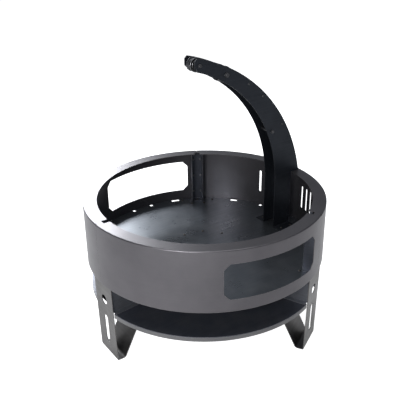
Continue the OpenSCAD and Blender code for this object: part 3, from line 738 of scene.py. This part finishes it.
# Heads are one unit in shank diameter and stand on z = 0; shanks are one unit long
button_head = turned_shape("button_head", [
    (0.0, 0.875, 0), (0.18, 0.875, 0), (0.33, 0.80, 0), (0.46, 0.64, 0), (0.545, 0.42, 0),
    (0.55, 0.36, 6), (0.20, 0.333, 6), (0.14, 0.10, 6)], 24)
hex_head = turned_shape("hex_head", [
    (0.0, 1.0, 0), (0.14, 1.0, 0), (0.18, 0.96, 0), (0.18, 0.80, 6), (0.68, 0.80, 6),
    (0.78, 0.76, 0)], 24)
shank = turned_shape("shank", [(0.0, 0.46, 0), (0.08, 0.5, 0), (1.0, 0.5, 0)], 16)
nut = nut_shape("nut")


def fastener_tree():
    """Copies of a head and a shank on points that carry an axis, a size and two lengths."""
    tree = bpy.data.node_groups.new("fastener_rows", "GeometryNodeTree")
    for label, kind in (("Geometry", "NodeSocketGeometry"), ("Head", "NodeSocketObject"),
                        ("Shank", "NodeSocketObject"), ("Finish", "NodeSocketMaterial"),
                        ("Turn Seed", "NodeSocketInt")):
        tree.interface.new_socket(label, in_out="INPUT", socket_type=kind)
    tree.interface.new_socket("Geometry", in_out="OUTPUT", socket_type="NodeSocketGeometry")
    source, sink = row_of(tree, "NodeGroupInput", "NodeGroupOutput")
    sink.location = (1800, 0)

    def stored(name, kind):
        node = tree.nodes.new("GeometryNodeInputNamedAttribute")
        node.data_type = kind
        node.inputs["Name"].default_value = name
        return node.outputs["Attribute"]

    aim = tree.nodes.new("FunctionNodeAlignRotationToVector")
    aim.axis = "Z"
    tree.links.new(stored("axis", "FLOAT_VECTOR"), aim.inputs["Vector"])
    turn = tree.nodes.new("FunctionNodeRandomValue")
    turn.data_type = "FLOAT"
    turn.inputs["Max"].default_value = math.tau
    tree.links.new(source.outputs["Turn Seed"], turn.inputs["Seed"])
    spin = tree.nodes.new("FunctionNodeAxisAngleToRotation")
    spin.inputs["Axis"].default_value = (0, 0, 1)
    random_angle = next(s for s in turn.outputs if s.enabled)
    tree.links.new(random_angle, spin.inputs["Angle"])
    placed = tree.nodes.new("FunctionNodeRotateRotation")
    placed.rotation_space = "LOCAL"
    tree.links.new(aim.outputs["Rotation"], placed.inputs["Rotation"])
    tree.links.new(spin.outputs["Rotation"], placed.inputs["Rotate By"])
    points = tree.nodes.new("GeometryNodeMeshToPoints")
    tree.links.new(source.outputs["Geometry"], points.inputs["Mesh"])
    joined = tree.nodes.new("GeometryNodeJoinGeometry")
    for shape, scale in (("Head", "head_scale"), ("Shank", "shank_scale")):
        info = tree.nodes.new("GeometryNodeObjectInfo")
        tree.links.new(source.outputs[shape], info.inputs["Object"])
        copies = tree.nodes.new("GeometryNodeInstanceOnPoints")
        tree.links.new(points.outputs["Points"], copies.inputs["Points"])
        tree.links.new(info.outputs["Geometry"], copies.inputs["Instance"])
        tree.links.new(placed.outputs["Rotation"], copies.inputs["Rotation"])
        tree.links.new(stored(scale, "FLOAT_VECTOR"), copies.inputs["Scale"])
        tree.links.new(copies.outputs["Instances"], joined.inputs["Geometry"])
    plain, coat = row_of(tree, "GeometryNodeRealizeInstances", "GeometryNodeSetMaterial")
    tree.links.new(joined.outputs["Geometry"], plain.inputs["Geometry"])
    tree.links.new(plain.outputs["Geometry"], coat.inputs["Geometry"])
    tree.links.new(source.outputs["Finish"], coat.inputs["Material"])
    tree.links.new(coat.outputs["Geometry"], sink.inputs["Geometry"])
    return tree


fasteners = fastener_tree()


def solids_of(node):
    """The separate solids of a CAD node, each as a list of points."""
    bm = bmesh.new()
    bm.from_mesh(frame["nodes"][node].data)
    bmesh.ops.remove_doubles(bm, verts=bm.verts, dist=2e-6)
    left, found = set(bm.verts), []
    while left:
        todo, island = [left.pop()], []
        while todo:
            v = todo.pop()
            island.append(v.co.copy())
            for e in v.link_edges:
                w = e.other_vert(v)
                if w in left:
                    left.remove(w)
                    todo.append(w)
        found.append(island)
    bm.free()
    return sorted(found, key=lambda island: (round(sum(p.x for p in island) / len(island), 4),
                                             round(sum(p.y for p in island) / len(island), 4)))


def inwards(points):
    middle = sum(points, Vector()) / len(points)
    return min((-polar(1, a) for a in (30, 150, 270)), key=lambda d: d.dot(middle))


BUTTON_WIDE, BUTTON_TALL, HEX_TALL, WASHER = 0.875, 0.55, 0.6, 0.0015


def rows_of_fasteners(name, node, axis, kind, seed, material):
    """Detailed fasteners in the places, and of the sizes, of one CAD node's solids."""
    spots = []
    for island in solids_of(node):
        way = inwards(island) if axis is None else Vector(axis)
        along = [p.dot(way) for p in island]
        low, high = min(along), max(along)
        middle = sum(island, Vector()) / len(island)
        side = middle - way * middle.dot(way)
        reach = max((p - way * p.dot(way) - side).length for p in island)
        if kind == "nut":
            # the widest point is a corner of the hexagon
            flats = 2 * reach * math.cos(math.pi / 6)
            spots.append((side + way * low, way, (flats, flats, high - low), (0, 0, 0)))
        elif kind == "stud":
            spots.append((side + way * low, way, (0, 0, 0), (2 * reach, 2 * reach, high - low)))
        else:
            d = reach / (BUTTON_WIDE if kind == "button" else 1.0)
            head = BUTTON_TALL * d if kind == "button" else HEX_TALL * d + WASHER
            seat = high - head
            tall = head / (BUTTON_TALL if kind == "button" else 0.78)
            spots.append((side + way * seat, way, (d, d, tall), (d, d, -(seat - low))))
    points = bpy.data.meshes.new(name)
    points.from_pydata([s[0] for s in spots], [], [])
    for label, column in (("axis", 1), ("head_scale", 2), ("shank_scale", 3)):
        data = points.attributes.new(label, "FLOAT_VECTOR", "POINT")
        data.data.foreach_set("vector", [c for s in spots for c in s[column]])
    piece = bpy.data.objects.new(name, points)
    scene.collection.objects.link(piece)
    grow = piece.modifiers.new("rows", "NODES")
    grow.node_group = fasteners
    ids = {item.name: item.identifier for item in fasteners.interface.items_tree if item.in_out == "INPUT"}
    grow[ids["Head"]] = {"nut": nut, "stud": shank, "button": button_head, "hex": hex_head}[kind]
    grow[ids["Shank"]] = shank
    grow[ids["Finish"]] = material
    grow[ids["Turn Seed"]] = seed
    baked = bpy.data.meshes.new_from_object(piece.evaluated_get(bpy.context.evaluated_depsgraph_get()))
    piece.modifiers.clear()
    bm = bmesh.new()
    bm.from_mesh(baked)
    # a fastener without a head or a shank leaves a copy of no size
    bmesh.ops.dissolve_degenerate(bm, edges=bm.edges, dist=1e-7)
    bmesh.ops.delete(bm, geom=[v for v in bm.verts if not v.link_faces], context="VERTS")
    bmesh.ops.recalc_face_normals(bm, faces=bm.faces)
    bm.to_mesh(baked)
    bm.free()
    for label in ("axis", "head_scale", "shank_scale"):
        if label in baked.attributes:
            baked.attributes.remove(baked.attributes[label])
    baked.shade_smooth()
    baked.set_sharp_from_angle(angle=math.radians(30))
    piece.data = baked
    finish_piece(piece, material, "fastener_zinc", node)


UP, RIGHT, LEFT = (0, 0, 1), (1, 0, 0), (-1, 0, 0)
FASTENERS = [
    ("floor_button_bolts", "floor_bolts", UP, "button", 1, floor_zinc),
    ("floor_hex_nuts", "floor_nuts", UP, "nut", 2, fastener_zinc),
    ("shelf_button_bolts", "shelf_bolts", UP, "button", 3, floor_zinc),
    ("shelf_hex_nuts", "shelf_nuts", UP, "nut", 4, fastener_zinc),
    ("pillar_weld_studs", "pillar_studs", None, "stud", 5, fastener_zinc),
    ("pillar_hex_nuts", "pillar_nuts", None, "nut", 6, fastener_zinc),
    ("crane_foot_button_bolts", "crane_foot_bolts", UP, "button", 7, floor_zinc),
    ("crane_foot_hex_nuts", "crane_foot_nuts", UP, "nut", 8, fastener_zinc),
    ("spacer_button_bolts", "crane_spacer_bolts", RIGHT, "button", 9, crane_zinc),
    ("spacer_hex_nuts", "crane_spacer_nuts", LEFT, "nut", 10, crane_zinc),
    ("axle_hex_nuts", "axle_nuts", LEFT, "nut", 11, crane_zinc),
    ("pulley_axle_bolt", "tip_axle", RIGHT, "hex", 12, crane_zinc),
    ("roller_axle_bolt", "guide_axle", RIGHT, "hex", 13, crane_zinc),
    ("belay_bolt", "belay_pin", RIGHT, "hex", 14, crane_zinc),
]
for row in FASTENERS:
    rows_of_fasteners(*row)
for shape in (button_head, hex_head, shank, nut):
    bpy.data.objects.remove(shape)
